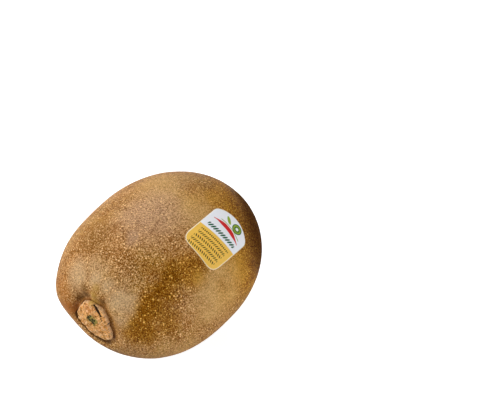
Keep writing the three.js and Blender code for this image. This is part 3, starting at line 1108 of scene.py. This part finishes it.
def within(value, middle, half, soft=0.05):
    away = calc(tree, "ABSOLUTE", calc(tree, "SUBTRACT", value, middle))
    return ramp(tree, away, half - soft, half + soft, 1.0, 0.0)


# %% [markdown]
# The label has two fields: golden paper, and over a slanted division a white one. The division
# is a straight line in the label's plane, so a point's height over it says which field it is in.

# %% Label: the two fields
WHITE = (0.93, 0.94, 0.99)
GOLD = (0.97, 0.6, 0.105)
DULL_GOLD = (0.93, 0.56, 0.09)
RED = (0.72, 0.03, 0.03)
GREEN = (0.02, 0.12, 0.05)
LEAF = (0.32, 0.45, 0.04)
SEED = (0.1, 0.045, 0.008)
BARE_PAPER = (0.88, 0.82, 0.66)
DIVISION_SLOPE = 0.14
DIVISION_AT = -0.7

division = calc(tree, "MULTIPLY_ADD", across, DIVISION_SLOPE, DIVISION_AT)
above = calc(tree, "SUBTRACT", along, division)
white_field = ramp(tree, above, -0.06, 0.06)
ground = use_group(tree, mottling, {"Place": place, "Per mm": 0.6, "First": GOLD,
                                    "Second": DULL_GOLD, "Balance": 0.55, "Spread": 0.2})
print("the fields meet", DIVISION_AT, "mm from the label's middle")

# %% [markdown]
# On the white field there is a bowed red ribbon that thins out to its ends, with a thin line over
# it, then a round slice of fruit with a ring of seeds, and one leaf.

# %% Label: ribbon, slice and leaf
RIBBON_HEIGHT = 4.3
RIBBON_BOW = -0.035
RIBBON_REACH = 5.4
SLICE_MIDDLE = (1.9, 7.2, 0.0)
LEAF_MIDDLE = (-1.7, 7.0, 0.0)
LEAF_HALF = (1.5, 0.55)
LEAF_TURN = math.radians(38)

bow = times(tree, times(tree, across, across), RIBBON_BOW)
from_ribbon = calc(tree, "SUBTRACT", along, calc(tree, "ADD", bow, RIBBON_HEIGHT))
ribbon_half = ramp(tree, calc(tree, "ABSOLUTE", across), 1.5, RIBBON_REACH, 0.75, 0.12)
past_ribbon = calc(tree, "SUBTRACT", calc(tree, "ABSOLUTE", from_ribbon), ribbon_half)
ribbon = times(tree, ramp(tree, past_ribbon, -0.05, 0.05, 1.0, 0.0),
               within(across, 0.0, RIBBON_REACH))
thin_line = times(tree, within(from_ribbon, 1.15, 0.13), within(across, 0.6, 4.2))

from_slice = distance_to(tree, on_label, SLICE_MIDDLE)


def disc(inner, outer):
    return ramp(tree, from_slice, inner, outer, 1.0, 0.0)


seed_ring = times(tree, ramp(tree, from_slice, 0.62, 0.7), disc(0.95, 1.03))


def filled(oval):
    return ramp(tree, length_of(tree, oval), 0.9, 1.1, 1.0, 0.0)


from_leaf = add(tree, "VectorRotate", {"Vector": vector(tree, "SUBTRACT", on_label, LEAF_MIDDLE),
                                       "Angle": LEAF_TURN}, rotation_type="Z_AXIS").outputs[0]
one_leaf = filled(vector(tree, "MULTIPLY", from_leaf, (1 / LEAF_HALF[0], 1 / LEAF_HALF[1], 1.0)))
print("the leaf is", 2 * LEAF_HALF[0], "mm long")

# %% [markdown]
# The rows run along the division: leaves above it, small ovals and then four rows of seeds below
# it. A Ping-Pong node folds the distance across into equal cells, with one oval in each.

# %% Label: the rows
ROW_START = 20
LEAF_REACH = 5.3
SEED_REACH = 5.35
SEED_ROWS = (-2.9, -4.5, -6.1, -7.7)
SEED_LEAN = 0.45


def row_of(spacing, height, half_long, half_high, lean):
    """Ovals in a row along the division, each cell leaning to one side."""
    up = calc(tree, "SUBTRACT", above, height)
    leaning = calc(tree, "MULTIPLY_ADD", up, lean,
                   calc(tree, "ADD", across, ROW_START * spacing))
    cell = calc(tree, "SUBTRACT", calc(tree, "PINGPONG", leaning, spacing / 2), spacing / 4)
    return filled(joined(tree, calc(tree, "DIVIDE", cell, half_long),
                         calc(tree, "DIVIDE", up, half_high)))


leaves = times(tree, row_of(1.9, 1.7, 0.34, 0.8, -0.55), within(across, 0.0, LEAF_REACH))
rows = [row_of(1.25, -1.35, 0.2, 0.32, 0.0)]
for number, height in enumerate(SEED_ROWS):
    lean = SEED_LEAN if number % 2 else -SEED_LEAN
    rows.append(row_of(1.45, height, 0.2, 0.5, lean))
seeds = times(tree, most_of(tree, rows), within(across, 0.0, SEED_REACH))
print("rows on the gold:", len(rows))

# %% [markdown]
# All marks are laid on the paper in order, and last comes the margin of bare paper. Coated paper
# has a low gloss and faint flecks.

# %% Label: material
printed = layered(tree, ground["Color"], [
    (white_field, WHITE),
    (ribbon, RED),
    (thin_line, LEAF),
    (leaves, GREEN),
    (disc(1.75, 1.85), GREEN),
    (disc(1.45, 1.55), LEAF),
    (seed_ring, GREEN),
    (disc(0.5, 0.6), WHITE),
    (one_leaf, LEAF),
    (seeds, SEED),
    (ramp(tree, stored(tree, "from_edge"), 0.2, 0.34, 0.75, 0.0), BARE_PAPER),
])
fleck = cloudy(tree, place, 2.5, 2.0)["Fac"]
surface(tree, shader, printed, calc(tree, "MULTIPLY_ADD", fleck, 0.12, 0.3), fleck, 0.08, 0.05)
shader.inputs["Specular IOR Level"].default_value = 0.4
finish_piece(label, "sticker", paper)

# %% [markdown]
# The fruit lies on a pale table. To the camera the table glows almost white, as in a studio
# picture, but it throws back only half of the light, so the fruit's underside stays dark.

# %% Table
TABLE_SIZE = 6
TABLE_GREY = (0.55, 0.55, 0.55, 1)
TABLE_GLOW = 0.88

bpy.context.scene.view_settings.view_transform = "Standard"
bpy.ops.object.select_all(action="DESELECT")
bpy.ops.mesh.primitive_plane_add(size=TABLE_SIZE, location=(0, 0, 0))
table = bpy.context.active_object
table.name = "table"
table_white, tree, shader = new_material("table_white")
shader.inputs["Base Color"].default_value = TABLE_GREY
shader.inputs["Roughness"].default_value = 0.8
shader.inputs["Emission Color"].default_value = (1, 1, 1, 1)
seen = add(tree, "LightPath").outputs["Is Camera Ray"]
connect(tree, shader.inputs["Emission Strength"], times(tree, seen, TABLE_GLOW))
table.data.materials.append(table_white)
print("the table is", TABLE_SIZE, "m wide")

# %% [markdown]
# Four large soft lamps light the fruit: one low in front, two higher at the back, left and right,
# and a weak one low at the back left. Between the front one's light and the back ones' runs the
# darker band. The background is white to the camera and gives no light.

# %% Lamps and background
LAMP_AWAY = 0.9
LAMP_SIZE = (0.8, 0.6)
LAMPS = {
    "front": (0, 8, 8.5),
    "back_left": (225, 35, 7.0),
    "back_right": (135, 35, 5.8),
    "low_left": (225, 8, 2.5),
}


def soft_lamp(name, azimuth, elevation, power):
    lamp = bpy.data.lights.new(name, "AREA")
    lamp.shape = "RECTANGLE"
    lamp.size, lamp.size_y = LAMP_SIZE
    lamp.energy = power
    obj = bpy.data.objects.new(name, lamp)
    bpy.context.collection.objects.link(obj)
    towards = direction_to(azimuth, elevation).normalized()
    obj.location = BODY_MIDDLE + towards * LAMP_AWAY
    obj.rotation_euler = (-towards).to_track_quat("-Z", "Y").to_euler()


for name, (azimuth, elevation, power) in LAMPS.items():
    soft_lamp(name, azimuth, elevation, power)

world = bpy.data.worlds.new("studio")
bpy.context.scene.world = world
world.use_nodes = True
tree = world.node_tree
backdrop = tree.nodes["Background"]
connect(tree, backdrop.inputs["Color"], (1, 1, 1))
connect(tree, backdrop.inputs["Strength"], add(tree, "LightPath").outputs["Is Camera Ray"])
print("lamps:", list(LAMPS))
